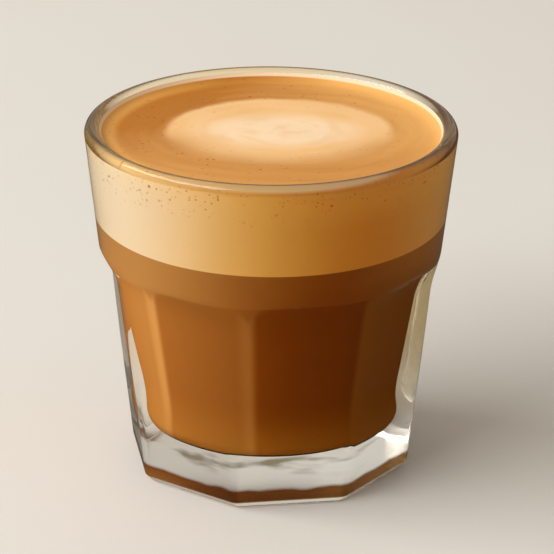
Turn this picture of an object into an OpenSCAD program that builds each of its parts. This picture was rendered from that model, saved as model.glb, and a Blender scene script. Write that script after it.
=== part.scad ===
// Cortado glass: a thick pressed tumbler with a smooth round band above eight
// arched flat panels, standing on a heavy clear foot, filled with milk coffee
// under a deep layer of microfoam. Z is up and the foot stands on Z = 0.
// One panel is centred on each of the four axis directions, the rest between.

/* [Lip and band] */
// Height of the glass, from the table to the top of the lip
glass_h = 72; // [64:0.5:84]
// Outside diameter of the glass at the lip
rim_d = 75; // [66:0.5:86]
// Thickness of the lip, which is rounded over in full
lip_t = 3.2; // [2.6:0.1:3.8]
// How much narrower the band is at its lower end than the lip, on the diameter
band_draw = 5.5; // [3:0.1:8]

/* [Panels] */
// Number of flat panels round the body
panel_n = 8; // [7:1:9]
// Height of the waist, where the ribs between the panels meet the shoulder
waist_z = 38.5; // [32:0.5:44]
// Height of the shoulder, from the waist up to the band
shoulder_h = 8; // [5:0.25:11]
// How much narrower the glass is across two panels at the waist than at the band
waist_draw = 6.7; // [5:0.1:8]
// How much narrower it is across two panels at the foot than at the waist
foot_draw = 8.6; // [5:0.1:11]
// Width of the rib between two panels at the waist
rib_waist_w = 4.6; // [3:0.1:6]
// Width of the rib between two panels at the foot
rib_foot_w = 1.1; // [1:0.1:3]
// How far above the waist the flat of a panel ends and its arch sweeps outwards
arch_rise = 2.5; // [1:0.25:4]
// Radius of that sweep
arch_r = 8; // [6.5:0.25:9.5]

/* [Foot] */
// Thickness of the clear glass under the drink
base_t = 9.7; // [7:0.1:13]
// Height of the chamfer round the bottom edge
chamfer_h = 1.4; // [0.8:0.1:2.4]
// Depth of the chamfer round the bottom edge
chamfer_w = 1.35; // [0.6:0.05:2]

/* [Cavity] */
// Thickness of the wall behind the middle of a panel, level with the cavity's floor
floor_wall_t = 4.2; // [3:0.1:6]
// Radius that rounds the corner between the floor and the wall
floor_r = 3; // [2:0.25:9]

/* [Drink] */
// Free height between the top of the lip and the surface of the drink
headspace = 2.4; // [2.2:0.1:8]
// Depth of the foam, crema included
foam_t = 18; // [8:0.5:24]
// Thickness of the crema skin and of the milk foam poured into it
crema_t = 1.2; // [0.6:0.1:2.5]
// Mean width of the ring of crema round the pale milk foam
crema_w = 12.6; // [8:0.1:20]
// How far the milk foam lies off the centre to the right
spot_x = 2; // [-4:0.25:4]
// How far the milk foam lies off the centre to the back
spot_y = 2; // [-4:0.25:4]

/* [Hidden] */
$fn = 128;

// How far cutting shapes run past the glass
overrun = 3;
// Steps in the curve of the shoulder
shoulder_steps = 8;

// Half the angle that one panel and its rib take up
half_panel = 180 / panel_n;

// The lip is a full circle in section
lip_r = lip_t / 2;
lip_c = [rim_d / 2 - lip_r, glass_h - lip_r];

// A straight line in section, from p, that touches the lip circle on its
// outer side (side = 1) or its inner side (side = -1): its lean from upright
function lean(p, side) =
    atan2(lip_c.x - p.x, lip_c.y - p.y) + side * asin(lip_r / norm(lip_c - p));
// The point where that line touches the lip circle
function touch(p, side) =
    lip_c + side * lip_r * [cos(lean(p, side)), -sin(lean(p, side))];
// The radius at height z on the line through p with lean a
function on_line(p, a, z) = p.x + (z - p.y) * tan(a);

// Outer side of the band, whose lower end is the top of the shoulder
band_z = waist_z + shoulder_h;
band_p = [(rim_d - band_draw) / 2, band_z];
band_a = lean(band_p, 1);

// Distances across opposite panels, at the waist and just above the chamfer
waist_flats = rim_d - band_draw - waist_draw;
foot_flats = waist_flats - foot_draw;

// Ribs: their circle passes through the ends of the flats, which stop short
// of the sharp corner of the prism by half a rib
function rib_radius(flats, rib_w) =
    norm([flats / 2, flats / 2 * tan(half_panel) - rib_w / 2 / cos(half_panel)]);
rib_foot_p = [rib_radius(foot_flats, rib_foot_w), chamfer_h];
rib_waist_p = [rib_radius(waist_flats, rib_waist_w), waist_z];
rib_a = atan2(rib_waist_p.x - rib_foot_p.x, rib_waist_p.y - rib_foot_p.y);

// Shoulder: eases from the line of the ribs into the line of the band
function ease(t) = t * t * (3 - 2 * t);
function shoulder_point(t) =
    let (z = waist_z + t * (band_z - waist_z))
    [(1 - ease(t)) * on_line(rib_waist_p, rib_a, z)
         + ease(t) * on_line(band_p, band_a, z), z];

// Panels: a plane that leans out from the foot to the arch
panel_foot_p = [foot_flats / 2, chamfer_h];
panel_a = atan2((waist_flats - foot_flats) / 2, waist_z - chamfer_h);
arch_z = waist_z + arch_rise;
panel_top_p = [on_line(panel_foot_p, panel_a, arch_z), arch_z];
arch_c = panel_top_p + arch_r * [cos(panel_a), -sin(panel_a)];
chamfer_a = atan2(chamfer_w, chamfer_h);

// Cavity wall and its rounded corner
floor_p = [on_line(panel_foot_p, panel_a, base_t) - floor_wall_t, base_t];
wall_a = lean(floor_p, -1);
corner_c = [floor_p.x - floor_r * (1 - sin(wall_a)) / cos(wall_a), base_t + floor_r];
corner_touch = corner_c + floor_r * [cos(wall_a), -sin(wall_a)];

// Levels of the drink
drink_z = glass_h - headspace;
skin_z = drink_z - crema_t;
foam_z = drink_z - foam_t;
spot_r = on_line(floor_p, wall_a, drink_z) - crema_w;

// Section of the solid glass before the panels and the cavity are cut
module body_section() {
    polygon(concat(
        [[0, 0], [rib_foot_p.x - chamfer_h * tan(rib_a), 0]],
        [for (i = [0 : shoulder_steps]) shoulder_point(i / shoulder_steps)],
        [touch(band_p, 1), lip_c, [0, lip_c.y]]
    ));
    translate(lip_c) circle(r = lip_r);
}

// Section of the space for the drink, open at the top
module cavity_section() {
    polygon([
        [0, base_t], [corner_c.x, base_t], corner_touch,
        touch(floor_p, -1), [touch(floor_p, -1).x, glass_h + overrun],
        [0, glass_h + overrun]
    ]);
    translate(corner_c) circle(r = floor_r);
}

// What is taken off below the arch of one panel, centred on +X: everything
// outside its plane, and the chamfer below it
module panel_cut() {
    rotate([90, 0, 0])
        linear_extrude(height = rim_d, center = true)
            polygon([
                [panel_foot_p.x - (chamfer_h + overrun) * tan(chamfer_a), -overrun],
                panel_foot_p, panel_top_p, arch_c,
                [rim_d, arch_c.y], [rim_d, -overrun]
            ]);
}

// What is taken off above that, where the panel sweeps out to the band: a
// lying cylinder that touches the panel's plane along its upper edge
module arch_cut() {
    translate([arch_c.x, 0, arch_c.y])
        rotate([90, 0, 0])
            cylinder(r = arch_r, h = rim_d, center = true);
}

// A layer of the drink, between two heights, that fits the cavity
module layer(z0, z1) {
    rotate_extrude()
        intersection() {
            cavity_section();
            translate([0, z0]) square([rim_d / 2, z1 - z0]);
        }
}

// The pressed glass
module tumbler() {
    color([0.84, 0.88, 0.85, 0.4])
    difference() {
        rotate_extrude() body_section();
        rotate_extrude() cavity_section();
        for (i = [0 : panel_n - 1]) rotate(i * 360 / panel_n) panel_cut();
        for (i = [0 : panel_n - 1]) rotate(i * 360 / panel_n) arch_cut();
    }
}

// Milk coffee, from the floor of the cavity up to the foam
module milk_coffee() {
    color([0.48, 0.25, 0.07]) layer(0, foam_z);
}

// Steamed-milk microfoam on the coffee
module microfoam() {
    color([0.86, 0.62, 0.34]) layer(foam_z, skin_z);
}

// Crema: the coloured skin of the foam, round the milk foam
module crema() {
    color([0.78, 0.5, 0.2])
    difference() {
        layer(skin_z, drink_z);
        translate([spot_x, spot_y, skin_z - overrun])
            cylinder(r = spot_r, h = crema_t + overrun + overrun);
    }
}

// Milk foam poured last, which lies in the crema like a coin
module milk_foam_spot() {
    color([0.95, 0.81, 0.6])
    translate([spot_x, spot_y, skin_z]) cylinder(r = spot_r, h = crema_t);
}

tumbler();
milk_coffee();
microfoam();
crema();
milk_foam_spot();
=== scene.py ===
"""Cortado glass: a pressed tumbler of milk coffee under a deep layer of foam.

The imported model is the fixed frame. Each of its nodes is dressed by a finer closed surface
that is worked out on a grid of two parameters: a profile, and the turn round the axis.
Heights, the lip and the cavity's cone are read from the frame, and the other sizes are the
fields of the classes below. Lengths are metres, +Z is up and the foot stands on Z = 0.
"""

import logging
import math
from collections.abc import Callable
from dataclasses import dataclass
from enum import Enum

import bpy
import numpy as np
from mathutils import Matrix, Vector


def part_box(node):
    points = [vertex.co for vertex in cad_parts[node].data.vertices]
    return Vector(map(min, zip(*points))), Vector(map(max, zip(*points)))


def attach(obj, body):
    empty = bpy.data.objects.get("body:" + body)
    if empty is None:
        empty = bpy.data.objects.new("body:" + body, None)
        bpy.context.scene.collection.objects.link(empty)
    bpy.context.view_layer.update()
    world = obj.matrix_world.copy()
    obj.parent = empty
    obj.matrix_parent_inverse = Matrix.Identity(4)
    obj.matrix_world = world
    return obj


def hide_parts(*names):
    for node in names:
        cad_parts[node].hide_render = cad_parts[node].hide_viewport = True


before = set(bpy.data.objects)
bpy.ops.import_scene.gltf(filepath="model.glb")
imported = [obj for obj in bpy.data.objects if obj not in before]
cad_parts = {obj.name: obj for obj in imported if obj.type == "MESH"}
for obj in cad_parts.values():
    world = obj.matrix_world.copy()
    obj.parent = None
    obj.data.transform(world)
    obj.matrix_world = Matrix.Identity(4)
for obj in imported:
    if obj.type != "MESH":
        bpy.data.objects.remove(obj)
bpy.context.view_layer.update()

MM = 0.001
BODY = "root"
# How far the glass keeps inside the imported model's box
INSIDE = 0.005 * MM
# How far the drink reaches into the wall of the glass, so that it wets it
WETTING = 0.06 * MM
# Edges that turn by more than this are shaded as edges
SHARP_TURN = math.radians(38)
# The photograph looks at the part from this far round, from straight in front
VIEW_TURN = math.radians(-9.1)
# The finishes paint their light and shade by this side.
# The side of the drink that the light comes through, from the photograph's front
LIT_SIDE = math.radians(-78)

Colour = tuple[float, float, float]
# Where something begins, and where it is full
Span = tuple[float, float]
# Specks: their spacing, the radius of the largest, and the share of places with one
Speck = tuple[float, float, float]
log = logging.getLogger("cortado_glass")


class Slot(Enum):
    """The record's material slots."""

    GLASS = "clear_glass"
    COFFEE = "milk_coffee"
    MICROFOAM = "microfoam"
    CREMA = "crema"
    MILK_FOAM = "milk_foam"


class Shade(Enum):
    """How a surface's normals are smoothed."""

    SMOOTH = "smooth"
    CREASED = "creased"


def ease(t: np.ndarray) -> np.ndarray:
    """Eases from 0 to 1: three t squared less two t cubed, with t held between 0 and 1."""
    held = np.clip(t, 0.0, 1.0)
    return held * held * (3 - 2 * held)


def soft_min(a: np.ndarray, b: np.ndarray, width: np.ndarray) -> np.ndarray:
    """The lesser of a and b, rounded off where they are within width of each other.

    Formula: the lesser value, minus a quarter of the width times the square of how far, as a
    share of the width, the two are from being a width apart.

    Args:
        a: First surface's radii.
        b: Second surface's radii.
        width: Difference over which the crease between them is rounded.

    Returns:
        The radii of the blended surface.
    """
    near = np.clip(width - np.abs(a - b), 0.0, None) / width
    return np.minimum(a, b) - near * near * width / 4


def rounded_path(points: np.ndarray, radii: list[float], steps: int) -> np.ndarray:
    """A polyline with its inner corners turned into arcs.

    Formula: each corner is replaced by the circle that touches both of its sides, and the
    arc's points swing evenly from one touching point to the other about the circle's centre.

    Args:
        points: Corner points, two numbers each.
        radii: Radius of the arc at each inner corner.
        steps: Points along each arc.

    Returns:
        The path's points, two numbers each.
    """
    parts = [points[:1]]
    share = np.linspace(0.0, 1.0, steps)[:, None]
    for before, corner, after, radius in zip(points, points[1:], points[2:], radii):
        way_in = (corner - before) / np.linalg.norm(corner - before)
        way_out = (after - corner) / np.linalg.norm(after - corner)
        turn = math.acos(float(np.clip(way_in @ way_out, -1.0, 1.0)))
        reach = radius * math.tan(turn / 2)
        inward = (way_out - way_in) / np.linalg.norm(way_out - way_in)
        centre = corner + inward * radius / math.cos(turn / 2)
        start = corner - way_in * reach - centre
        end = corner + way_out * reach - centre
        swing = np.sin((1 - share) * turn) * start + np.sin(share * turn) * end
        parts.append(centre + swing / math.sin(turn))
    parts.append(points[-1:])
    return np.concatenate(parts)


def revolve(profile: np.ndarray, angles: np.ndarray) -> np.ndarray:
    """Turns a profile round the axis.

    Formula: the point at profile place i and turn j is the profile's radius times the cosine
    and the sine of the angle, at the profile's height.

    Args:
        profile: Radius and height of each place along the profile.
        angles: Turns about the axis, in radians.

    Returns:
        A grid of points, places by turns by three.
    """
    radius, height = profile[:, :1], profile[:, 1:]
    flat = np.ones_like(angles)[None, :]
    return np.stack([radius * np.cos(angles), radius * np.sin(angles), height * flat], -1)


def new_object(name: str, data: bpy.types.ID) -> bpy.types.Object:
    """Makes an object of its data and links it into the scene."""
    made = bpy.data.objects.new(name, data)
    bpy.context.scene.collection.objects.link(made)
    return made


def direction(turn: float, elevation: float = 0.0) -> Vector:
    """The way from the glass to a viewer or a lamp, by its turn from the front."""
    bearing, level = VIEW_TURN + turn, math.cos(elevation)
    return Vector((math.sin(bearing) * level, -math.cos(bearing) * level, math.sin(elevation)))


def piece_from_grid(
    name: str,
    grid: np.ndarray,
    poles: tuple[np.ndarray, np.ndarray] | None,
    shade: Shade,
) -> bpy.types.Object:
    """Makes a closed piece from a grid of points whose columns wrap round.

    Args:
        name: The piece's name.
        grid: Points, rows by columns by three. Rows run so that the faces look outwards.
        poles: Single points that close the first and the last row, or None where the rows
            wrap round as well.
        shade: Smooth all over, or with the sharp turns kept as edges.

    Returns:
        The new object, linked into the scene.
    """
    rows, columns = grid.shape[:2]
    index = np.arange(rows * columns).reshape(rows, columns)
    beside = np.roll(index, -1, axis=1)
    above, above_beside = np.roll(index, -1, axis=0), np.roll(beside, -1, axis=0)
    quads = np.stack([index, beside, above_beside, above], -1)
    rings = rows if poles is None else rows - 1
    faces = quads[:rings].reshape(-1, 4).tolist()
    points = grid.reshape(-1, 3)
    if poles is not None:
        first, last = len(points), len(points) + 1
        points = np.concatenate([points, np.stack(poles)])
        bottom = np.stack([np.full(columns, first), beside[0], index[0]], -1)
        top = np.stack([index[-1], beside[-1], np.full(columns, last)], -1)
        faces += bottom.tolist() + top.tolist()
    mesh = bpy.data.meshes.new(name)
    mesh.from_pydata(points.tolist(), [], faces)
    mesh.validate()
    mesh.shade_smooth()
    if shade is Shade.CREASED:
        mesh.set_sharp_from_angle(angle=SHARP_TURN)
    return new_object(name, mesh)


def seat(piece: bpy.types.Object, node: str, slot: Slot, finish: bpy.types.Material) -> None:
    """Dresses a piece, lets it ride on the part and puts it in a node's place.

    Args:
        piece: The piece to seat.
        node: The CAD node that it stands for.
        slot: The record's material slot.
        finish: Its material.
    """
    piece.data.materials.append(finish)
    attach(piece, BODY)
    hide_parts(node)
    triangles = sum(len(face.vertices) - 2 for face in piece.data.polygons)
    log.info("%s: %d triangles, slot %s", piece.name, triangles, slot.value)


def arithmetic(operation: str, swapped: bool = False) -> Callable[..., "Pattern"]:
    """Makes a method that adds one Math node.

    Args:
        operation: The node's operation.
        swapped: Whether the pattern is the second of the two values.

    Returns:
        The method.
    """

    def step(self: "Pattern", other: "Pattern | float") -> "Pattern":
        """Joins this pattern and another value."""
        pair = (other, self) if swapped else (self, other)
        return self.nodes.math(operation, *pair)

    return step


class Pattern:
    """A number or colour that varies from place to place: one output in a node tree."""

    def __init__(self, nodes: "Nodes", socket: bpy.types.NodeSocket) -> None:
        """Keeps the output and the tree that it is in."""
        self.nodes, self.socket = nodes, socket

    __add__ = __radd__ = arithmetic("ADD")
    __mul__ = __rmul__ = arithmetic("MULTIPLY")
    __sub__, __rsub__ = arithmetic("SUBTRACT"), arithmetic("SUBTRACT", swapped=True)
    __truediv__ = arithmetic("DIVIDE")
    __pow__ = arithmetic("POWER")

    def stretch(self, low: float, high: float) -> "Pattern":
        """Takes low to 0 and high to 1, evenly, and holds it there."""
        return self.nodes.span("LINEAR", self, low, high)

    def ease(self, low: float, high: float) -> "Pattern":
        """Takes low to 0 and high to 1, easing in and out, and holds it there."""
        return self.nodes.span("SMOOTHSTEP", self, low, high)


Input = Pattern | float | tuple


class Nodes:
    """A node tree that is built up step by step."""

    def __init__(self, tree: bpy.types.NodeTree) -> None:
        """Takes the tree to build in."""
        self.tree = tree

    def add(self, kind: str, **settings: object) -> bpy.types.Node:
        """Adds a node and gives it its settings."""
        node = self.tree.nodes.new(kind)
        for key, value in settings.items():
            setattr(node, key, value)
        return node

    def plug(self, target: bpy.types.NodeSocket, value: Input) -> None:
        """Links a pattern to a socket, or sets a constant on it."""
        if isinstance(value, Pattern):
            self.tree.links.new(value.socket, target)
        elif target.type == "RGBA":
            target.default_value = (*value, 1.0)
        else:
            target.default_value = value

    def outcome(
        self, kind: str, out: str, inputs: dict[str | int, Input], **settings: object
    ) -> Pattern:
        """Adds a node, plugs its inputs and gives one of its outputs.

        Args:
            kind: The node's type.
            out: The output's name.
            inputs: What goes into each input.
            **settings: The node's settings.

        Returns:
            The output.
        """
        node = self.add(kind, **settings)
        for key, value in inputs.items():
            self.plug(node.inputs[key], value)
        return Pattern(self, node.outputs[out])

    def math(self, operation: str, *values: Input) -> Pattern:
        """One arithmetic step on one or two values."""
        inputs = dict(enumerate(values))
        return self.outcome("ShaderNodeMath", "Value", inputs, operation=operation)

    def vector(self, operation: str, out: str, *values: Input) -> Pattern:
        """One step on one or two vectors, which gives a Vector or a Value."""
        inputs = dict(enumerate(values))
        return self.outcome("ShaderNodeVectorMath", out, inputs, operation=operation)

    def span(self, way: str, value: Input, low: float, high: float) -> Pattern:
        """Takes low to 0 and high to 1, held between them."""
        inputs = {"Value": value, "From Min": low, "From Max": high}
        return self.outcome("ShaderNodeMapRange", "Result", inputs, interpolation_type=way)

    def blend(self, share: Input, a: Input, b: Input) -> Pattern:
        """A colour that goes from a to b as share goes from 0 to 1."""
        inputs = {"Factor": share, "A": a, "B": b}
        return self.outcome("ShaderNodeMix", "Result", inputs, data_type="RGBA")

    def parts(self, vector: Pattern) -> tuple[Pattern, ...]:
        """The X, Y and Z of a vector."""
        node = self.add("ShaderNodeSeparateXYZ")
        self.plug(node.inputs[0], vector)
        return tuple(Pattern(self, out) for out in node.outputs)

    def vector_of(self, x: Input = 0.0, y: Input = 0.0, z: Input = 0.0) -> Pattern:
        """A vector from its parts."""
        return self.outcome("ShaderNodeCombineXYZ", "Vector", {"X": x, "Y": y, "Z": z})

    def along(self, place: Pattern, turn: float) -> Pattern:
        """How far a place or direction lies towards a side, by its turn from the front."""
        return self.vector("DOT_PRODUCT", "Value", place, tuple(direction(turn)))


class Recipe(Nodes):
    """The node tree of one material."""

    # The smallest specks, and their soft edge, as shares of the largest's radius
    SMALLEST_SPECK = 0.35
    SPECK_EDGE = 0.8

    def __init__(self, name: str) -> None:
        """Starts an empty material with its Principled shader and output."""
        self.material = bpy.data.materials.new(name)
        self.material.use_nodes = True
        super().__init__(self.material.node_tree)
        self.tree.nodes.clear()
        self.shader = self.add("ShaderNodeBsdfPrincipled")
        output = self.add("ShaderNodeOutputMaterial")
        self.tree.links.new(self.shader.outputs["BSDF"], output.inputs["Surface"])
        self.place = self.outcome("ShaderNodeTexCoord", "Object", {})
        self.x, self.y, self.height = self.parts(self.place)

    def principled(self, **values: Input) -> None:
        """Fills the shader's own sockets, named with underscores for blanks."""
        for key, value in values.items():
            self.plug(self.shader.inputs[key.replace("_", " ")], value)

    def towards_light(self, reach: float) -> Pattern:
        """0 at the reach away from the light's side of the axis, and 1 at the reach towards it."""
        return self.along(self.place, LIT_SIDE).stretch(-reach, reach)

    def ramp(self, value: Pattern, colours: tuple[Colour, ...]) -> Pattern:
        """Runs smoothly through evenly spaced colours as the value goes from 0 to 1."""
        node = self.add("ShaderNodeValToRGB")
        node.color_ramp.interpolation = "B_SPLINE"
        stops = node.color_ramp.elements
        for place in range(1, len(colours) - 1):
            stops.new(place / (len(colours) - 1))
        for stop, colour in zip(stops, colours):
            stop.color = (*colour, 1.0)
        self.plug(node.inputs[0], value)
        return Pattern(self, node.outputs["Color"])

    def length(self, x: Pattern, y: Pattern) -> Pattern:
        """The length of a level vector."""
        return self.vector("LENGTH", "Value", self.vector_of(x, y))

    def noise(self, vector: Pattern, grain: float, detail: float = 2.0) -> Pattern:
        """Cloudy noise from 0 to 1 whose features are about grain metres across."""
        inputs = {"Vector": vector, "Scale": 1.0 / grain, "Detail": detail}
        return self.outcome("ShaderNodeTexNoise", "Fac", inputs)

    def mapped(self, size: tuple, centre: tuple = (0.0, 0.0, 0.0), turn: float = 0.0) -> Pattern:
        """The place from a centre, turned about Z and measured in a pattern's own size."""
        inputs = {
            "Vector": self.place, "Location": centre, "Rotation": (0.0, 0.0, turn), "Scale": size,
        }
        return self.outcome("ShaderNodeMapping", "Vector", inputs, vector_type="TEXTURE")

    def specks(self, spacing: float, size: float, share: float) -> Pattern:
        """Small round specks: 1 inside a speck and 0 outside.

        Args:
            spacing: Distance between the places where a speck may be, in metres.
            size: Radius of the largest specks, in metres.
            share: Share of the places that have one.

        Returns:
            The pattern.
        """
        node = self.add("ShaderNodeTexVoronoi")
        self.plug(node.inputs["Vector"], self.place)
        self.plug(node.inputs["Scale"], 1.0 / spacing)
        chance, width, _ = self.parts(Pattern(self, node.outputs["Color"]))
        edge = (width + self.SMALLEST_SPECK) * (size / spacing / (1.0 + self.SMALLEST_SPECK))
        inside = 1.0 - Pattern(self, node.outputs["Distance"]) / edge
        return inside.ease(0.0, self.SPECK_EDGE) * self.math("LESS_THAN", chance, share)

    def bump(self, height: Pattern, depth: float) -> None:
        """Raises the surface's relief by a height pattern, depth metres deep."""
        inputs = {"Strength": 1.0, "Distance": depth, "Height": height}
        self.principled(Normal=self.outcome("ShaderNodeBump", "Normal", inputs))


def from_screen(red: int, green: int, blue: int) -> Colour:
    """A screen colour of 0 to 255 as linear light, by the inverse of the sRGB curve."""
    shares = np.array([red, green, blue]) / 255
    light = np.where(shares > 0.04045, ((shares + 0.055) / 1.055) ** 2.4, shares / 12.92)
    return tuple(float(value) for value in light)


@dataclass(frozen=True)
class ClearGlass:
    """Pressed soda-lime glass, fire-polished, with the faint ripple of the mould.

    Each stretch of the tumbler bends light by its own amount. Behind the flats it is far less
    than in real glass, so that the drink stands as far in from the edges as the photograph
    shows it, between clear strips, and a coat gives back the gloss. The glass has one colour
    towards the light and one away from it, painted light and shade, and another where it is
    seen edge on, partly the glass's own colour through its thickness and partly painted shade.
    """

    name: str
    ior: float
    tint: Colour = (0.985, 0.99, 0.975)
    # The colour away from the light: painted shade where it is darker, a painted highlight where
    # it is paler.
    far_tint: Colour = (0.985, 0.99, 0.975)
    # Edge on: partly the glass's own colour through its thickness, partly painted shade; edge_lit
    # paints it lighter on the lit side.
    edge_tint: Colour = (0.62, 0.58, 0.46)
    edge: Span = (0.45, 0.95)
    edge_lit: Colour | None = None
    lit: Span = (0.15, 0.45)
    reach: float = 30 * MM
    mirror: float = 0.5
    coat: float = 0.0
    roughness: float = 0.0
    ripple: float = 9 * MM
    ripple_depth: float = 0.02 * MM

    def build(self) -> bpy.types.Material:
        """Makes the material."""
        recipe = Recipe(self.name)
        recipe.principled(
            Base_Color=self.colour(recipe), IOR=self.ior, Roughness=self.roughness,
            Transmission_Weight=1.0, Coat_Weight=self.coat, Coat_Roughness=0.0,
            Specular_IOR_Level=self.mirror,
        )
        recipe.bump(recipe.noise(recipe.place, self.ripple, detail=1.0), self.ripple_depth)
        self.complete(recipe)
        return recipe.material

    def colour(self, recipe: Recipe) -> Pattern:
        """The glass's colour, with light and shade painted by its side to the light and by how far
        it is seen edge on.
        """
        side = recipe.towards_light(self.reach)
        edge_on = recipe.outcome("ShaderNodeLayerWeight", "Facing", {})
        rim = self.edge_tint
        if self.edge_lit is not None:
            rim = recipe.blend(side.stretch(*self.lit), rim, self.edge_lit)
        body = recipe.blend(side, self.far_tint, self.tint)
        return recipe.blend(edge_on.stretch(*self.edge), body, rim)

    def complete(self, recipe: Recipe) -> None:
        """Links what differs by side or height, which plain glass has no need of."""


# The flats: warm towards the light and dark olive away from it, painted shade, with a pale painted
# edge on the lit side.
FLATS_GLASS = ClearGlass(
    "clear_glass_flats", 1.045, tint=(0.94, 0.83, 0.68), far_tint=(0.45, 0.36, 0.20),
    edge_tint=(0.42, 0.37, 0.26), edge=(0.72, 0.97), edge_lit=(0.8, 0.75, 0.64), coat=0.25,
)


@dataclass(frozen=True)
class FootGlass(ClearGlass):
    """The heavy foot, whose index and colour ease into those of the glass above it.

    It bends the light less on the faces that are met from inside, which are a little hazy, so
    that no dark or white panes show. On the faces where the light enters it are painted the
    reflection of the drink, brown along the lower edge and darker away from the light, and
    soft streaks of painted reflection under the cavity's floor.
    """

    above: ClearGlass = FLATS_GLASS
    own: Span = (24 * MM, 10.2 * MM)
    own_power: float = 3.0
    ior_within: float = 1.15
    haze_within: float = 0.18
    # A painted reflection of the drink along the lower edge, darker away from the light.
    brown: Colour = (0.13, 0.012, 0.0002)
    brown_low: Colour = (0.25, 0.05, 0.004)
    brown_far: Colour = (0.05, 0.016, 0.002)
    brown_rise: Span = (1.0 * MM, 1.3 * MM)
    brown_tone: Span = (1.3 * MM, 3.7 * MM)
    brown_fall: Span = (4.6 * MM, 3.7 * MM)
    brown_lit: Span = (0.12, 0.5)
    brown_grain: tuple[float, float, float] = (7 * MM, 7 * MM, 60 * MM)
    brown_wave: float = 1.8 * MM
    # Soft streaks of painted reflection under the cavity's floor.
    reflection_streak: Colour = (0.16, 0.12, 0.06)
    reflection_streak_grain: tuple[float, float, float] = (11 * MM, 11 * MM, 2.6 * MM)
    reflection_streak_share: Span = (0.5, 0.72)
    reflection_streak_rise: Span = (5.5 * MM, 9.5 * MM)
    reflection_streak_fall: Span = (12 * MM, 10.8 * MM)

    def complete(self, recipe: Recipe) -> None:
        """Links the roughness and the index, which differ by side, and the index by height."""
        outside, own = self.met_outside(recipe), self.own_share(recipe)
        haze = outside * (self.roughness - self.haze_within) + self.haze_within
        lift = outside * (self.ior - self.ior_within) + (self.ior_within - self.above.ior)
        recipe.principled(Roughness=haze, IOR=own * lift + self.above.ior)

    def colour(self, recipe: Recipe) -> Pattern:
        """The foot's colour: plain glass with the painted reflection of the drink and painted
        reflection streaks.
        """
        clear = recipe.blend(
            self.own_share(recipe), self.above.colour(recipe), super().colour(recipe)
        )
        outside = self.met_outside(recipe)
        # The painted reflection of the drink, darker away from the light.
        uneven = recipe.noise(recipe.mapped(self.brown_grain), grain=1.0, detail=1.5) - 0.5
        wavy = uneven * self.brown_wave + recipe.height
        brown = recipe.blend(wavy.stretch(*self.brown_tone), self.brown_low, self.brown)
        lit = recipe.towards_light(self.reach).stretch(*self.brown_lit)
        brown = recipe.blend(lit, self.brown_far, brown)
        edge = recipe.height.ease(*self.brown_rise) * wavy.ease(*self.brown_fall)
        edged = recipe.blend(edge * outside, clear, brown)
        # Streaks of painted reflection under the floor.
        streaks = recipe.noise(recipe.mapped(self.reflection_streak_grain), grain=1.0, detail=2.5)
        high = recipe.height.ease(*self.reflection_streak_rise) * recipe.height.ease(*self.reflection_streak_fall)
        share = streaks.ease(*self.reflection_streak_share) * high * outside
        return recipe.blend(share, edged, self.reflection_streak)

    def own_share(self, recipe: Recipe) -> Pattern:
        """1 low down, and 0 where the glass is as the glass above it."""
        return recipe.height.stretch(*self.own) ** self.own_power

    def met_outside(self, recipe: Recipe) -> Pattern:
        """1 where the light enters the glass, and 0 where it meets a face from inside."""
        return 1.0 - recipe.outcome("ShaderNodeNewGeometry", "Backfacing", {})


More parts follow.
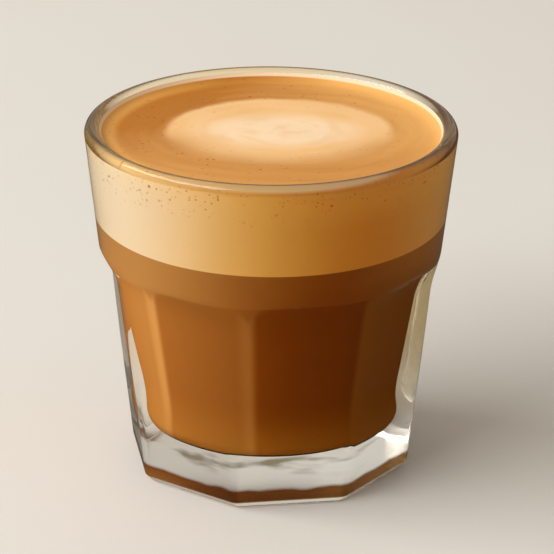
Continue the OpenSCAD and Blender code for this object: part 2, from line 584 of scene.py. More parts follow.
@dataclass(frozen=True)
class MilkCoffeeFinish:
    """Milk coffee seen through the glass, painted milky towards the light, deep brown away from
    it.

    The light that the ribs gather is painted on: below the arches the drink is brightest in an
    upright band behind each rib, drops off just past it and stays even behind the flat, with a
    little painted shade below the arches. A painted shadow line marks the drink's lower edge,
    and above it painted light from the clear foot brightens the drink.
    """

    # Painted shading: the drink's colours from the side away from the light to the side towards
    # it.
    light_and_shade_tones: tuple[Colour, ...] = (
        (0.42, 0.17, 0.03), (0.195, 0.035, 0.001), (0.275, 0.072, 0.0035),
        (0.49, 0.21, 0.047), (0.68, 0.36, 0.12),
    )
    reach: float = 28 * MM
    light_share: float = 0.83
    # A painted shadow line along the drink's lower edge.
    line: Colour = (0.035, 0.012, 0.003)
    line_rise: Span = (9.7 * MM, 9.8 * MM)
    line_fall: Span = (10.45 * MM, 10.25 * MM)
    # Painted light from the clear foot, which brightens the drink low down.
    foot: Span = (22 * MM, 10.25 * MM)
    foot_light_tone: float = 0.08
    foot_light_share: float = 0.42
    foot_light_colour: Colour = (0.44, 0.165, 0.015)
    # Painted light bands behind the ribs, and painted shade below the arches.
    ribs: int = 8
    band_shift: float = math.radians(5)
    band_rise: Span = (0.86, 1.0)
    band_fall: Span = (0.1, 0.0)
    band_drop: float = 0.17
    band_glow: float = 0.2
    arch: Span = (46 * MM, 43.5 * MM)
    arch_corner: float = 4 * MM
    arch_power: float = 4.0
    arch_shade: float = 0.06

    def build(self) -> bpy.types.Material:
        """Makes the material."""
        recipe = Recipe("milk_coffee")
        # Painted shading towards the light, painted rib light and painted light from the foot.
        lit = recipe.towards_light(self.reach)
        low = recipe.height.ease(*self.foot)
        tone = lit * self.light_share + self.rib_light_bands(recipe, lit) + low * self.foot_light_tone
        colour = recipe.blend(
            low * self.foot_light_share, recipe.ramp(tone, self.light_and_shade_tones), self.foot_light_colour
        )
        # A painted shadow line along the drink's lower edge.
        line = recipe.height.stretch(*self.line_rise) * recipe.height.stretch(*self.line_fall)
        recipe.principled(
            Base_Color=recipe.blend(line, colour, self.line), Roughness=0.6,
            Specular_IOR_Level=0.0,
        )
        return recipe.material

    def rib_light_bands(self, recipe: Recipe, lit: Pattern) -> Pattern:
        """How far the painted light of the ribs moves the tone towards its light end, below the
        arches.

        Formula: between two ribs it rises evenly and eases back down just past the next one,
        a painted glow peaks at the rib, stronger on the lit side, and both, with a little painted
        shade, set in below an arch that bends down towards the ribs.

        Args:
            recipe: The material.
            lit: How far the place lies towards the light, from 0 to 1.

        Returns:
            The shift.
        """
        each = 2 * math.pi / self.ribs
        turns = recipe.math("ARCTAN2", recipe.y, recipe.x) / each
        between = recipe.math("FRACT", turns + (0.5 - self.band_shift / each))
        fall, rise = between.ease(*self.band_fall), between.ease(*self.band_rise)
        glow = (fall + rise) * (lit * lit * self.band_glow)
        shift = (between + fall - 0.5) * self.band_drop + glow - self.arch_shade
        off = recipe.math("ABSOLUTE", between * 2.0 - 1.0)
        level = recipe.height + off**self.arch_power * self.arch_corner
        return shift * level.ease(*self.arch)


@dataclass(frozen=True)
class MicrofoamFinish:
    """Steamed-milk foam against the glass, whose colours the crema's rim shares."""

    # Painted shading: the foam's colours from the side away from the light to the side towards it.
    light_and_shade_tones: tuple[Colour, ...] = (
        (0.98, 0.56, 0.16), (0.60, 0.16, 0.004), (0.70, 0.295, 0.042), (0.95, 0.525, 0.115),
        (0.98, 0.87, 0.68),
    )
    reach: float = 34 * MM
    # A painted glow near the top, on the side away from the light.
    top_glow: Colour = (0.98, 0.5, 0.11)
    top_share: float = 0.25
    top_side: Span = (0.7, 0.3)
    bubble: Colour = from_screen(176, 92, 16)
    bubble_share: float = 0.85
    bubble_heights: Span = (61 * MM, 66.5 * MM)
    bubble_kinds: tuple[Speck, ...] = (
        (1.5 * MM, 0.5 * MM, 0.6), (0.8 * MM, 0.3 * MM, 0.7),
    )
    patch_grain: float = 9 * MM
    patch: Span = (0.26, 0.5)

    def colour(self, recipe: Recipe) -> Pattern:
        """The foam's colour: painted shading by its side to the light, a painted glow near the top
        on the side away from it, and fine bubbles near the top.

        Args:
            recipe: The material that takes it.

        Returns:
            The colour.
        """
        side = recipe.towards_light(self.reach)
        high = recipe.height.stretch(*self.bubble_heights)
        glow = high * side.stretch(*self.top_side) * self.top_share
        colour = recipe.blend(glow, recipe.ramp(side, self.light_and_shade_tones), self.top_glow)
        patch = recipe.noise(recipe.place, self.patch_grain).stretch(*self.patch)
        dots = recipe.math("MAXIMUM", *(recipe.specks(*kind) for kind in self.bubble_kinds))
        return recipe.blend(high * patch * dots * self.bubble_share, colour, self.bubble)

    def build(self) -> bpy.types.Material:
        """Makes the material."""
        recipe = Recipe("microfoam")
        recipe.principled(
            Base_Color=self.colour(recipe), Roughness=0.6, Specular_IOR_Level=0.0
        )
        return recipe.material


@dataclass(frozen=True)
class SurfaceFinish:
    """The top of the drink: crema round a pale disc of milk foam with soft swirls.

    The same pattern dresses the crema and the milk foam poured into it, so that the edge
    between them is as soft and uneven as the pour leaves it. The crema carries painted shade
    on the left and painted light by the wall. A pale film climbs the glass, with a painted glow
    on the left, and where the crema touches the glass it shows the colour of the foam below.
    Places across and along are measured in half widths of the disc, from its centre.
    """

    wall_radius: float
    wall_slope: float
    level: float
    foam: MicrofoamFinish = MicrofoamFinish()
    centre: tuple[float, float, float] = (2.0 * MM, 2.1 * MM, 0.0)
    half_size: tuple[float, float, float] = (22.9 * MM, 19.5 * MM, 22.9 * MM)
    wobble: float = 0.16
    wobble_grain: float = 9 * MM
    swirl_rise: float = 5.0
    disc_back: Span = (1.04, 0.93)
    disc_front: Span = (1.16, 0.62)
    front: Span = (0.2, -0.5)
    milk: Colour = from_screen(242, 196, 138)
    milk_core: Colour = from_screen(248, 218, 180)
    core: Span = (0.62, 0.3)
    core_squeeze: float = 0.72
    milk_streak: Span = (0.42, 0.7)
    milk_streak_share: float = 0.3
    # The crema's tone: darker on the left, painted shade from the left rim, paler to the right.
    crema_dark: Colour = from_screen(182, 113, 32)
    crema_pale: Colour = from_screen(232, 174, 98)
    crema_tone: float = 0.42
    crema_across: float = 0.29
    crema_along: float = -0.05
    crema_corner: float = 0.27
    crema_streak: float = 0.7
    # Painted light: the tone raised near the wall, and an orange glow painted by the left wall.
    wall_near: Span = (9 * MM, 1.5 * MM)
    wall_tone: float = 0.85
    wall_tone_near: float = 0.35
    wall_glow: Colour = (0.98, 0.52, 0.13)
    wall_glow_share: float = 0.7
    wall_glow_depth: Span = (3.8 * MM, 0.6 * MM)
    wall_glow_side: Span = (-0.3, -1.3)
    # The film of foam on the glass: warmer on the left, a painted glow of light through the foam.
    film_warm: Colour = (1.0, 0.76, 0.5)
    film_pale: Colour = (0.92, 0.68, 0.46)
    film_side: Span = (-0.3, 1.0)
    film_depth: Span = (0.4 * MM, 0.2 * MM)
    touch_depth: Span = (0.2 * MM, 0.1 * MM)
    touch_height: float = 0.3 * MM
    speck: Colour = from_screen(158, 80, 14)
    speck_share: float = 1.12
    speck_kind: Speck = (1.4 * MM, 0.55 * MM, 0.6)
    speck_ring: float = 1.18
    speck_spread: Span = (0.5, 0.15)
    speck_side: Span = (1.6, -0.6)
    speck_grain: float = 7 * MM
    speck_patch: Span = (0.36, 0.52)
    grain: float = 0.45 * MM
    grain_depth: float = 0.03 * MM

    def build(self, name: str) -> bpy.types.Material:
        """Makes the material.

        Args:
            name: The material's name.

        Returns:
            The material.
        """
        recipe = Recipe(name)
        local = recipe.mapped(self.half_size, self.centre, VIEW_TURN)
        across, along, _ = recipe.parts(local)
        depth = self.depth_from_glass(recipe)
        wobble = recipe.noise(recipe.place, self.wobble_grain, detail=3.0) - 0.5
        reach = wobble * self.wobble + recipe.length(across, along)
        swirl = self.swirl(recipe, across, along, reach)
        crisp, soft = reach.ease(*self.disc_back), reach.ease(*self.disc_front)
        disc = (soft - crisp) * along.ease(*self.front) + crisp
        crema = self.crema(recipe, across, along, depth, swirl)
        colour = recipe.blend(disc, crema, self.milk_foam(recipe, across, along, swirl))
        colour = recipe.blend(self.fine_specks(recipe, across, reach), colour, self.speck)
        # The film on the glass, with a painted glow on the left.
        film = recipe.blend(across.stretch(*self.film_side), self.film_warm, self.film_pale)
        colour = recipe.blend(depth.ease(*self.film_depth), colour, film)
        below = recipe.height.stretch(self.level + self.touch_height, self.level)
        touching = depth.stretch(*self.touch_depth) * below
        colour = recipe.blend(touching, colour, self.foam.colour(recipe))
        recipe.principled(Base_Color=colour, Roughness=0.5, Specular_IOR_Level=0.15)
        recipe.bump(recipe.noise(recipe.place, self.grain), self.grain_depth)
        return recipe.material

    def crema(
        self, recipe: Recipe, across: Pattern, along: Pattern, depth: Pattern, swirl: Pattern
    ) -> Pattern:
        """Deep orange on the left and at the back left of the milk foam, and golden elsewhere,
        with painted shade and light.

        Formula: the tone rises from left to right, painted shade from the left rim, and with the
        product of the places across and along, so that the back left is darker and the back right
        and front left paler. Near the wall the tone is raised, painted light, and by the left wall
        an orange glow is painted, since the lip there keeps much of the light off it.
        """
        side = across * self.crema_across + self.crema_tone + along * self.crema_along
        side = side + across * along * self.crema_corner
        # Painted light near the wall.
        near = depth.stretch(*self.wall_near) * self.wall_tone_near + self.wall_tone
        tone = side * near + (swirl - 0.5) * self.crema_streak
        colour = recipe.blend(tone.stretch(0.0, 1.0), self.crema_dark, self.crema_pale)
        # Painted glow by the left wall, where the lip keeps the light off.
        glow = depth.ease(*self.wall_glow_depth) * across.stretch(*self.wall_glow_side)
        return recipe.blend(glow * self.wall_glow_share, colour, self.wall_glow)

    def milk_foam(
        self, recipe: Recipe, across: Pattern, along: Pattern, swirl: Pattern
    ) -> Pattern:
        """Pale foam with a paler, wide core and faint streaks."""
        core = recipe.length(across * self.core_squeeze, along).ease(*self.core)
        milk = recipe.blend(core, self.milk, self.milk_core)
        streaks = swirl.ease(*self.milk_streak) * self.milk_streak_share
        return recipe.blend(streaks, milk, self.crema_pale)

    def fine_specks(self, recipe: Recipe, across: Pattern, reach: Pattern) -> Pattern:
        """Dark specks that gather in patches round the milk foam, most of them on the left."""
        off = recipe.math("ABSOLUTE", reach - self.speck_ring).stretch(*self.speck_spread)
        patch = recipe.noise(recipe.place, self.speck_grain).stretch(*self.speck_patch)
        where = off * patch * across.stretch(*self.speck_side)
        return recipe.specks(*self.speck_kind) * where * self.speck_share

    def depth_from_glass(self, recipe: Recipe) -> Pattern:
        """How far a place is from the wall of the cavity, in metres."""
        wall = recipe.height * self.wall_slope + self.wall_radius
        return wall - recipe.length(recipe.x, recipe.y)

    def swirl(self, recipe: Recipe, across: Pattern, along: Pattern, reach: Pattern) -> Pattern:
        """Streaks that run round the pour: noise on a cylinder whose height is the reach."""
        round_it = recipe.vector("NORMALIZE", "Vector", recipe.vector_of(across, along))
        rise = recipe.vector_of(z=reach * self.swirl_rise)
        place = recipe.vector("ADD", "Vector", round_it, rise)
        return recipe.noise(place, grain=1.0, detail=3.0)


@dataclass(frozen=True)
class Cavity:
    """The inside of the glass: a cone that stands on a flat floor, with a rounded corner."""

    floor_z: float
    low: tuple[float, float]
    high: tuple[float, float]
    corner: float = 3 * MM

    @classmethod
    def from_frame(cls) -> "Cavity":
        """Reads the floor and two places on the wall from the boxes of the drink's nodes."""
        coffee_low, coffee_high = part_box("milk_coffee")
        foam_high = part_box("microfoam")[1]
        return cls(coffee_low.z, (coffee_high.x, coffee_high.z), (foam_high.x, foam_high.z))

    @property
    def lean(self) -> float:
        """The wall's lean from upright."""
        return math.atan2(self.high[0] - self.low[0], self.high[1] - self.low[1])

    def radius(self, height: np.ndarray | float) -> np.ndarray | float:
        """The wall's radius at a height, on the straight line through its two places."""
        return self.low[0] + (height - self.low[1]) * math.tan(self.lean)

    def profile(self, top: float, grow: float, steps: int) -> np.ndarray:
        """The cavity's section from near the floor's centre to a height on the wall.

        Formula: points spread evenly along the floor, along the quarter round that touches
        the floor and the wall, and along the wall.

        Args:
            top: Height at which the section ends.
            grow: How far the section is moved outwards into the glass.
            steps: Points along each of its three stretches.

        Returns:
            Radius and height of each point.
        """
        round_out = (1 - math.sin(self.lean)) / math.cos(self.lean)
        centre = (self.radius(self.floor_z) - self.corner * round_out, self.floor_z + self.corner)
        share = np.linspace(0.0, 1.0, steps)
        turn = -math.pi / 2 + share * (math.pi / 2 - self.lean)
        reach = self.corner + grow
        arc = np.stack([centre[0] + reach * np.cos(turn), centre[1] + reach * np.sin(turn)], -1)
        out = share[1:-1] * arc[0, 0]
        floor = np.stack([out, np.full_like(out, arc[0, 1])], -1)
        rise = arc[-1, 1] + share[1:] * (top - arc[-1, 1])
        side = grow / math.cos(self.lean)
        wall = np.stack([self.radius(rise) + side, rise], -1)
        return np.concatenate([floor, arc, wall])


@dataclass(frozen=True)
class Tumbler:
    """The pressed glass: eight arched flats under a round band, on a heavy foot.

    Its finishes follow one another from the foot to the lip, each up to its own height.
    """

    cavity: Cavity
    height: float
    rim_radius: float
    lip_radius: float = 1.6 * MM
    band_foot: tuple[float, float] = (34.75 * MM, 46.5 * MM)
    panels: int = 8
    waist_z: float = 38.5 * MM
    waist_flat: float = 31.4 * MM
    foot_flat: float = 27.1 * MM
    rib_waist: float = 4.6 * MM
    rib_foot: float = 1.1 * MM
    arch_z: float = 41 * MM
    arch_radius: float = 8 * MM
    chamfer: tuple[float, float] = (1.35 * MM, 1.4 * MM)
    rib_tuck: float = 1.1 * MM
    edge_round: float = 0.4 * MM
    foot_ring: float = 1.5 * MM
    crease_foot: float = 0.15 * MM
    crease_arch: float = 1.3 * MM
    crease_from: float = 20 * MM
    crease_past_arch: float = 3 * MM
    columns_per_panel: int = 48
    gathered: float = 0.6
    under_rows: int = 12
    edge_rows: int = 7
    plane_rows: int = 22
    arch_rows: int = 40
    band_rows: int = 14
    lip_rows: int = 40
    cavity_rows: int = 26
    stretches: tuple[tuple[float, ClearGlass], ...] = (
        (23 * MM, FootGlass(
            "clear_glass_foot", 1.41, edge_tint=(0.9, 0.88, 0.8), roughness=0.03, mirror=0.25,
        )),
        (45.5 * MM, FLATS_GLASS),
        (69.8 * MM, ClearGlass(
            "clear_glass_band", 1.2, edge_tint=(0.93, 0.88, 0.80), coat=0.25,
        )),
        # The lip: a warm tint that paints in the cream of the foam seen in it, paler away from the
        # light as a painted highlight, and nearly black edge on, painted shade for the rim's dark
        # crescents.
        (100 * MM, ClearGlass(
            "clear_glass_lip", 1.38, tint=(1.0, 0.76, 0.38), far_tint=(1.0, 0.86, 0.62),
            edge_tint=(0.075, 0.035, 0.003), edge=(0.34, 0.58), roughness=0.04,
            ripple_depth=0.003 * MM,
        )),
    )

    @classmethod
    def from_frame(cls, cavity: Cavity) -> "Tumbler":
        """Reads the height and the lip's radius from the box of the glass's node."""
        low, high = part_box("tumbler")
        reach = min(high.x, high.y, -low.x, -low.y)
        return cls(cavity, high.z - INSIDE, reach - INSIDE)

    @property
    def lip_centre(self) -> np.ndarray:
        """Centre of the circle that rounds the lip."""
        return np.array([self.rim_radius - self.lip_radius, self.height - self.lip_radius])

    def lean_to_lip(self, place: tuple[float, float], side: int) -> float:
        """Lean of the line from a place that touches the lip's circle on one side."""
        away = self.lip_centre - np.array(place)
        return math.atan2(*away) + side * math.asin(self.lip_radius / np.linalg.norm(away))

    def turns(self) -> tuple[np.ndarray, np.ndarray]:
        """The columns' angles, and each one's angle from the middle of its panel.

        Formula: within a panel the columns gather towards its two ribs, by a share of the
        cubic that stands still at the ends.

        Returns:
            Angles about the axis, and angles from the panel's middle, in radians.
        """
        half = math.pi / self.panels
        even = np.linspace(-1.0, 1.0, self.columns_per_panel, endpoint=False)
        cubic = 1.5 * even - 0.5 * even**3
        across = (1 - self.gathered) * even + self.gathered * cubic
        off = np.tile(across * half, self.panels)
        middle = np.repeat(np.arange(self.panels) * 2 * half, self.columns_per_panel)
        return middle + off, off

    def rib_radius(self, flat: float, width: float) -> float:
        """Radius of the circle through a flat's ends, half a rib short of the sharp corner."""
        half = math.pi / self.panels
        return math.hypot(flat, flat * math.tan(half) - width / 2 / math.cos(half))

    def round_radius(self, height: np.ndarray) -> np.ndarray:
        """Radius of the round body at a height, before its flats are pressed in.

        Formula: a straight rib up to the waist, a straight band from the shoulder up, and an
        eased blend of the two lines between them. Below the chamfer the rib tucks in.

        Args:
            height: Heights.

        Returns:
            Radii at those heights.
        """
        foot = self.rib_radius(self.foot_flat, self.rib_foot)
        waist = self.rib_radius(self.waist_flat, self.rib_waist)
        slope = (waist - foot) / (self.waist_z - self.chamfer[1])
        rib = foot + (height - self.chamfer[1]) * slope
        rib = rib - self.rib_tuck * np.clip(1 - height / self.chamfer[1], 0.0, 1.0)
        lean = self.lean_to_lip(self.band_foot, 1)
        band = self.band_foot[0] + (height - self.band_foot[1]) * math.tan(lean)
        share = ease((height - self.waist_z) / (self.band_foot[1] - self.waist_z))
        return (1 - share) * rib + share * band

    def flat_profile(self) -> np.ndarray:
        """Distance from the axis and height along the middle of a panel, foot to band.

        Formula: the flat ring, the chamfer and the leaning plane as a path with rounded
        corners, then the circle that touches the plane and sweeps out into the band.

        Returns:
            Distance and height of each row.
        """
        lean = math.atan2(self.waist_flat - self.foot_flat, self.waist_z - self.chamfer[1])
        top = self.foot_flat + (self.arch_z - self.chamfer[1]) * math.tan(lean)
        foot = self.foot_flat - self.chamfer[0]
        corners = np.array([
            [foot - self.foot_ring, 0.0], [foot, 0.0], [self.foot_flat, self.chamfer[1]],
            [top, self.arch_z],
        ])
        path = rounded_path(corners, [self.edge_round, self.edge_round], self.edge_rows)
        rise = np.linspace(path[-2, 1], self.arch_z, self.plane_rows)[1:-1]
        plane = np.stack([self.foot_flat + (rise - self.chamfer[1]) * math.tan(lean), rise], -1)
        centre = top + self.arch_radius * math.cos(lean)
        middle = self.arch_z - self.arch_radius * math.sin(lean)
        high = np.linspace(self.arch_z, middle + self.arch_radius, self.arch_rows)
        drop = np.clip(self.arch_radius**2 - (high - middle) ** 2, 0.0, None)
        arch = np.stack([centre - np.sqrt(drop), high], -1)
        return np.concatenate([path[1:-1], plane, arch])

    def outside(self, off: np.ndarray) -> tuple[np.ndarray, np.ndarray]:
        """Radii and heights of the outer wall, from the foot's flat ring to above the arches.

        Formula: at each row and turn, the soft lesser of the round body's radius and the
        panel's distance divided by the cosine of the angle from the panel's middle.

        Args:
            off: Angle of each column from the middle of its panel.

        Returns:
            Radii, rows by columns, and the rows' heights.
        """
        distance, height = self.flat_profile().T
        flat = distance[:, None] / np.cos(off)[None, :]
        body = self.round_radius(height)[:, None] * np.ones_like(flat)
        full = self.arch_z + self.crease_past_arch
        spread = ease((height - self.crease_from) / (full - self.crease_from))
        crease = self.crease_foot + (self.crease_arch - self.crease_foot) * spread
        return soft_min(body, flat, crease[:, None]), height

    def band_and_inside(self, start: float) -> np.ndarray:
        """Section of the rest of the glass, from a height on the band over the lip and down.

        Args:
            start: Height of the last row of the panelled wall.

        Returns:
            Radius and height of each row, ending near the middle of the cavity's floor.
        """
        outer = self.lean_to_lip(self.band_foot, 1)
        touch = self.lip_centre[1] - self.lip_radius * math.sin(outer)
        rise = np.linspace(start, touch, self.band_rows)[1:-1]
        band = np.stack([self.round_radius(rise), rise], -1)
        swing = np.linspace(-outer, math.pi - self.cavity.lean, self.lip_rows)
        lip = self.lip_centre + self.lip_radius * np.stack([np.cos(swing), np.sin(swing)], -1)
        down = self.cavity.profile(lip[-1, 1], 0.0, self.cavity_rows)[::-1]
        return np.concatenate([band, lip, down[1:]])

    def surface(self) -> np.ndarray:
        """The whole surface as a grid, from the underside's middle to the cavity's floor."""
        angles, off = self.turns()
        radii, height = self.outside(off)
        wall = np.stack([
            radii * np.cos(angles), radii * np.sin(angles),
            height[:, None] * np.ones_like(radii),
        ], -1)
        under = np.linspace(0.0, 1.0, self.under_rows)[1:-1, None, None] * wall[0]
        rest = revolve(self.band_and_inside(float(height[-1])), angles)
        return np.concatenate([under, wall, rest])

    def build(self) -> bpy.types.Object:
        """Makes the glass as one closed piece, with its finishes from the foot to the lip."""
        under = np.zeros(3)
        floor = np.array([0.0, 0.0, self.cavity.floor_z])
        piece = piece_from_grid("tumbler_glass", self.surface(), (under, floor), Shade.SMOOTH)
        tops, glasses = zip(*self.stretches)
        seat(piece, "tumbler", Slot.GLASS, glasses[0].build())
        for glass in glasses[1:]:
            piece.data.materials.append(glass.build())
        centres = np.array([face.center.z for face in piece.data.polygons])
        piece.data.polygons.foreach_set("material_index", np.digitize(centres, tops[:-1]))
        return piece


@dataclass(frozen=True)
class Drink:
    """The drink: milk coffee, microfoam, and the crema with milk foam poured into it."""

    cavity: Cavity
    foam_z: float
    skin_z: float
    surface_z: float
    spot_centre: tuple[float, float]
    spot_radius: float
    creep: float = 1.6 * MM
    creep_width: float = 0.8 * MM
    relief: float = 0.06 * MM
    relief_fade: float = 4 * MM
    waves: tuple[float, float, float] = (310.0, 270.0, 190.0)
    wave_starts: tuple[float, float] = (1.0, 2.0)
    columns: int = 256
    wall_rows: int = 24
    flat_rows: int = 14
    ring_rows: int = 64
    ring_gather: float = 1.8
    ring_wall_rows: int = 8
    under_rows: int = 10
    disc_rows: int = 60

    @classmethod
    def from_frame(cls, cavity: Cavity) -> "Drink":
        """Reads the levels of the layers and the place of the milk foam from their boxes."""
        coffee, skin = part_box("milk_coffee")[1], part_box("crema")
        low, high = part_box("milk_foam_spot")
        centre = ((low.x + high.x) / 2, (low.y + high.y) / 2)
        return cls(cavity, coffee.z, skin[0].z, skin[1].z, centre, (high.x - low.x) / 2)

    @property
    def angles(self) -> np.ndarray:
        """The columns' angles, all the way round."""
        return np.linspace(0.0, 2 * math.pi, self.columns, endpoint=False)

    def top_height(self, x: np.ndarray, y: np.ndarray) -> np.ndarray:
        """Height of the drink's surface over a place.

        Formula: the level, plus a creep up the glass that falls off exponentially with the
        distance from the wall, plus a shallow relief of three crossed waves.

        Args:
            x: Places along X.
            y: Places along Y.

        Returns:
            Heights.
        """
        wall = self.cavity.radius(self.surface_z + self.creep) + WETTING
        gap = np.clip(wall - np.hypot(x, y), 0.0, None)
        wide, deep, slanting = self.waves
        first, second = self.wave_starts
        crossed = np.sin(x * wide + first) * np.cos(y * deep)
        wave = crossed + np.sin((x + y) * slanting + second)
        relief = self.relief * wave * np.clip(gap / self.relief_fade, 0.0, 1.0)
        return self.surface_z + self.creep * np.exp(-gap / self.creep_width) + relief

    def wall(self, start: float, end: float, rows: int) -> np.ndarray:
        """Radius and height of rows on the glass's wall, which the drink just reaches into."""
        height = np.linspace(start, end, rows)
        return np.stack([self.cavity.radius(height) + WETTING, height], -1)

    def level(self, start: float, end: float, height: float) -> np.ndarray:
        """Radius and height of rows that run level between two radii, without the ends."""
        radius = np.linspace(start, end, self.flat_rows)[1:-1]
        return np.stack([radius, np.full_like(radius, height)], -1)

    def coffee(self) -> bpy.types.Object:
        """The milk coffee, from the floor of the cavity to the foam."""
        side = self.cavity.profile(self.foam_z, WETTING, self.wall_rows)
        section = np.concatenate([side, self.level(side[-1, 0], 0.0, self.foam_z)])
        poles = (np.array([0.0, 0.0, side[0, 1]]), np.array([0.0, 0.0, self.foam_z]))
        grid = revolve(section, self.angles)
        piece = piece_from_grid("milk_coffee_body", grid, poles, Shade.CREASED)
        seat(piece, "milk_coffee", Slot.COFFEE, MilkCoffeeFinish().build())
        return piece

    def microfoam(self) -> bpy.types.Object:
        """The foam between the coffee and its skin."""
        wall = self.wall(self.foam_z, self.skin_z, self.wall_rows)
        bottom = self.level(0.0, wall[0, 0], self.foam_z)
        top = self.level(wall[-1, 0], 0.0, self.skin_z)
        grid = revolve(np.concatenate([bottom, wall, top]), self.angles)
        poles = (np.array([0.0, 0.0, self.foam_z]), np.array([0.0, 0.0, self.skin_z]))
        piece = piece_from_grid("microfoam_body", grid, poles, Shade.CREASED)
        seat(piece, "microfoam", Slot.MICROFOAM, MicrofoamFinish().build())
        return piece

    def crema(self, finish: bpy.types.Material) -> bpy.types.Object:
        """The ring of crema, which creeps up the glass and meets the milk foam flush.

        Formula: its top runs from the milk foam's circle to the glass, gathered towards the
        glass, and its underside comes straight back between the same two circles.

        Args:
            finish: The surface's material.

        Returns:
            The piece.
        """
        round_it = np.stack([np.cos(self.angles), np.sin(self.angles)], -1)
        inner = np.array(self.spot_centre) + self.spot_radius * round_it
        contact = self.surface_z + self.creep
        outer = (self.cavity.radius(contact) + WETTING) * round_it
        even = np.linspace(0.0, 1.0, self.ring_rows)[:, None, None]
        share = 1 - (1 - even) ** self.ring_gather
        flat = inner * (1 - share) + outer * share
        top = np.concatenate([flat, self.top_height(flat[..., 0], flat[..., 1])[..., None]], -1)
        wall = revolve(self.wall(contact, self.skin_z, self.ring_wall_rows)[1:], self.angles)
        back = np.linspace(1.0, 0.0, self.under_rows)[1:, None, None]
        under = wall[-1, :, :2] * back + inner * (1 - back)
        level = np.full((*under.shape[:2], 1), self.skin_z)
        bottom = np.concatenate([under, level], -1)
        grid = np.concatenate([top, wall, bottom])[::-1]
        piece = piece_from_grid("crema_ring", grid, None, Shade.CREASED)
        seat(piece, "crema", Slot.CREMA, finish)
        return piece

    def milk_foam(self, finish: bpy.types.Material) -> bpy.types.Object:
        """The disc of milk foam, whose top carries on the surface of the crema.

        Args:
            finish: The surface's material.

        Returns:
            The piece.
        """
        centre = np.array([*self.spot_centre, 0.0])
        out = np.linspace(0.0, self.spot_radius, self.under_rows)[1:]
        bottom = revolve(np.stack([out, np.full_like(out, self.skin_z)], -1), self.angles)
        inwards = np.linspace(self.spot_radius, 0.0, self.disc_rows)[:-1]
        top = revolve(np.stack([inwards, np.zeros_like(inwards)], -1), self.angles)
        grid = np.concatenate([bottom, top]) + centre
        lid = slice(len(out), None)
        grid[lid, :, 2] = self.top_height(grid[lid, :, 0], grid[lid, :, 1])
        crown = self.top_height(np.array(centre[0]), np.array(centre[1]))
        poles = (centre + [0.0, 0.0, self.skin_z], centre + [0.0, 0.0, float(crown)])
        piece = piece_from_grid("milk_foam_disc", grid, poles, Shade.CREASED)
        seat(piece, "milk_foam_spot", Slot.MILK_FOAM, finish)
        return piece

    def build(self) -> list[bpy.types.Object]:
        """Makes all four layers."""
        slope = math.tan(self.cavity.lean)
        wall = float(self.cavity.radius(0.0)) + WETTING
        surface = SurfaceFinish(wall, slope, self.surface_z)
        return [
            self.coffee(),
            self.microfoam(),
            self.crema(surface.build("crema")),
            self.milk_foam(surface.build("milk_foam")),
        ]


@dataclass(frozen=True)
class PhotoCamera:
    """The photograph's camera, found from the lip's ellipse and the foot's corners."""

    elevation: float = math.radians(21.7)
    roll: float = math.radians(0.467)
    distance: float = 730 * MM
    aim_right: float = 1.38 * MM
    aim_height: float = 38.85 * MM
    lens: float = 232.9
    sensor: float = 36.0
    clip: Span = (10 * MM, 20.0)

    def build(self) -> bpy.types.Object:
        """Makes the camera and sets it as the scene's."""
        right, back = direction(math.pi / 2), direction(0.0, self.elevation)
        above = back.cross(right)
        rolled = right * math.cos(self.roll) + above * math.sin(self.roll)
        raised = above * math.cos(self.roll) - right * math.sin(self.roll)
        camera = new_object("photo_camera", bpy.data.cameras.new("photo_camera"))
        camera.data.lens = self.lens
        camera.data.sensor_width = self.sensor
        camera.data.clip_start, camera.data.clip_end = self.clip
        aim = right * self.aim_right + Vector((0.0, 0.0, self.aim_height))
        turned = Matrix((rolled, raised, back)).transposed().to_4x4()
        camera.matrix_world = Matrix.Translation(aim + back * self.distance) @ turned
        bpy.context.scene.camera = camera
        return camera


@dataclass(frozen=True)
class Softbox:
    """A rectangular lamp that looks at the glass, placed by its turn from the front."""

    name: str
    turn: float
    elevation: float
    distance: float
    width: float
    height: float
    power: float
    colour: Colour
    aim_height: float = 40 * MM

    def build(self) -> bpy.types.Object:
        """Makes the lamp."""
        lamp = bpy.data.lights.new(self.name, "AREA")
        lamp.shape = "RECTANGLE"
        lamp.size, lamp.size_y = self.width, self.height
        lamp.energy, lamp.color = self.power, self.colour
        box = new_object(self.name, lamp)
        away = direction(self.turn, self.elevation)
        box.location = away * self.distance + Vector((0.0, 0.0, self.aim_height))
        box.rotation_euler = (-away).to_track_quat("-Z", "Y").to_euler()
        return box


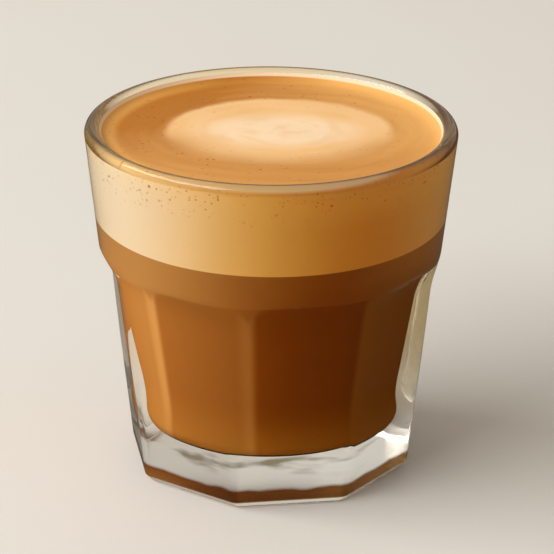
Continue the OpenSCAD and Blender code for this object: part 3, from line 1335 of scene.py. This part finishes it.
@dataclass(frozen=True)
class Studio:
    """A pale floor under plain soft light from the left, in a dim room."""

    floor_colour: Colour = from_screen(223, 222, 218)
    floor_warmth: Colour = (1.0, 0.985, 0.965)
    floor_size: float = 4.0
    floor_rows: int = 9
    floor_drop: float = 0.04 * MM
    mottle_grain: float = 90 * MM
    mottle: Span = (0.3, 0.7)
    room_colour: Colour = (0.40, 0.355, 0.31)
    backdrop_colour: Colour = (0.58, 0.52, 0.44)
    backdrop_turn: float = math.radians(190)
    backdrop: Span = (0.1, 0.8)
    horizon: Span = (-0.02, 0.01)
    below_horizon: float = 0.15
    glass_dim: Colour = (0.57, 0.515, 0.44)
    glass_pale: Colour = (0.68, 0.64, 0.565)
    glass_turn: float = math.radians(-140)
    glass: Span = (0.5, 0.9)
    lamps: tuple[Softbox, ...] = (
        Softbox(
            "key_softbox", math.radians(-71), math.radians(41), distance=2.0, width=2.6,
            height=0.7, power=49.0, colour=(1.0, 0.99, 0.965),
        ),
    )

    def floor(self) -> bpy.types.Object:
        """The floor, a hair below the foot, with a faint mottle in its paint."""
        side = np.linspace(-0.5, 0.5, self.floor_rows) * self.floor_size
        x, y = np.meshgrid(side, side)
        points = np.stack([x, y, np.full_like(x, -self.floor_drop)], -1).reshape(-1, 3)
        index = np.arange(x.size).reshape(x.shape)
        quads = np.stack([index[:-1, :-1], index[:-1, 1:], index[1:, 1:], index[1:, :-1]], -1)
        mesh = bpy.data.meshes.new("floor")
        mesh.from_pydata(points.tolist(), [], quads.reshape(-1, 4).tolist())
        floor = new_object("floor", mesh)
        recipe = Recipe("floor_paint")
        mottle = recipe.noise(recipe.place, self.mottle_grain).ease(*self.mottle)
        warm = tuple(value * share for value, share in zip(self.floor_colour, self.floor_warmth))
        paint = recipe.blend(mottle, self.floor_colour, warm)
        recipe.principled(Base_Color=paint, Roughness=0.7, Specular_IOR_Level=0.2)
        mesh.materials.append(recipe.material)
        floor.visible_glossy = False
        return floor

    def world(self) -> None:
        """A dim warm room with a pale backdrop, and a pale backdrop all round for clear glass.

        The glass shows the backdrop where a ray has come through it straight from the picture,
        so the backdrop adds no light to the drink behind the glass.
        """
        world = bpy.data.worlds.new("studio_air")
        bpy.context.scene.world = world
        world.use_nodes = True
        nodes = Nodes(world.node_tree)
        place = nodes.outcome("ShaderNodeTexCoord", "Generated", {})
        behind = nodes.along(place, self.backdrop_turn).ease(*self.backdrop)
        room = nodes.blend(behind, self.room_colour, self.backdrop_colour)
        beyond = nodes.along(place, self.glass_turn).ease(*self.glass)
        seen = nodes.blend(beyond, self.glass_dim, self.glass_pale)
        path = nodes.add("ShaderNodeLightPath").outputs
        undiffused = nodes.math("LESS_THAN", Pattern(nodes, path["Diffuse Depth"]), 0.5)
        direct = Pattern(nodes, path["Is Transmission Ray"]) * undiffused
        above = nodes.parts(place)[2].ease(*self.horizon)
        low_light = above * (1.0 - self.below_horizon) + self.below_horizon
        air = world.node_tree.nodes["Background"].inputs
        nodes.plug(air["Color"], nodes.blend(direct, room, seen))
        nodes.plug(air["Strength"], nodes.math("MAXIMUM", low_light, direct))

    def build(self) -> None:
        """Sets up the floor, the room and the lamps."""
        bpy.context.scene.view_settings.view_transform = "Standard"
        self.floor()
        self.world()
        for lamp in self.lamps:
            lamp.build()
        log.info("studio: %d lamps", len(self.lamps))


def main() -> None:
    """Builds the camera, the glass, the drink and the studio, in that order."""
    logging.basicConfig(level=logging.INFO, format="%(name)s: %(message)s")
    PhotoCamera().build()
    cavity = Cavity.from_frame()
    Tumbler.from_frame(cavity).build()
    Drink.from_frame(cavity).build()
    Studio().build()


if __name__ == "__main__":
    main()
